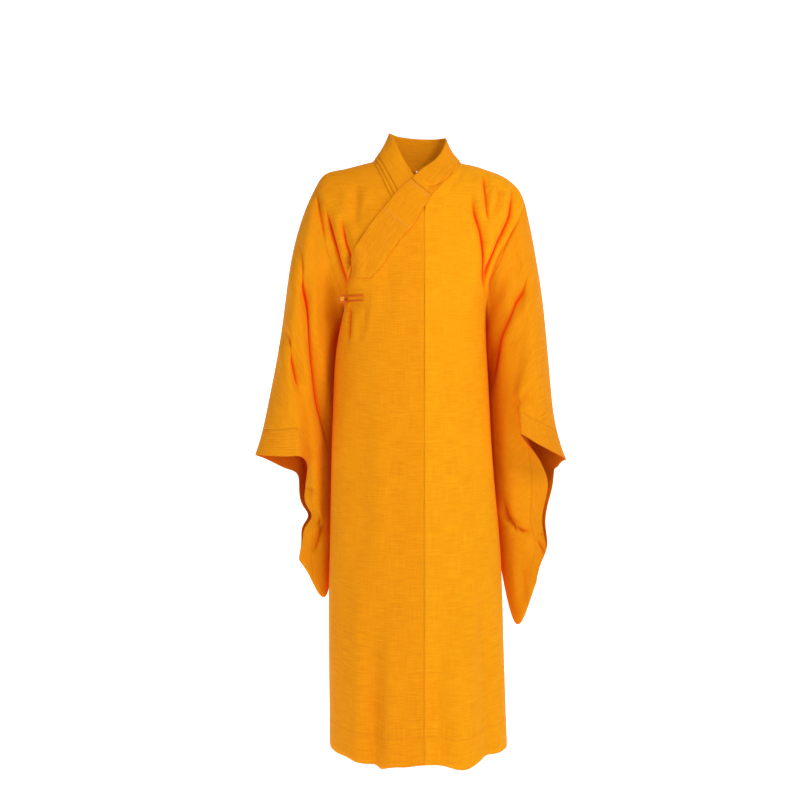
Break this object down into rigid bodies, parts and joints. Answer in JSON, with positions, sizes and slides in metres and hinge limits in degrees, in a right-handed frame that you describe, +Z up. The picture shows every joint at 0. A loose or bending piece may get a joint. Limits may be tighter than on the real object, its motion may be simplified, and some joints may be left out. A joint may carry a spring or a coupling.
{
  "type": "buddhist monk robe",
  "caption": "Long wrap-front monk's robe, worn and closed, with wide hanging sleeves, stitched bands and a stepped collar.",
  "frame": {"origin": "middle of the shoulder line at the base of the neck, where the wearer carries the robe", "axes": "+Z up, the front of the robe faces -Y, the wearer's left is +X"},
  "size_m": [0.679, 0.2731, 1.3655],
  "materials": {
    "robe_cloth": "matte plain weave"
  },
  "bodies": {
    "root": {"front_left": "robe_cloth", "front_right": "robe_cloth", "front_overlap": "robe_cloth", "back_left": "robe_cloth", "back_right": "robe_cloth", "sleeve_left": "robe_cloth", "sleeve_right": "robe_cloth", "cuff_left": "robe_cloth", "cuff_right": "robe_cloth", "collar_under": "robe_cloth", "collar_middle": "robe_cloth", "collar_top": "robe_cloth", "lapel_band": "robe_cloth", "knot_button": "robe_cloth", "button_loop": "robe_cloth"}
  },
  "joints": []
}
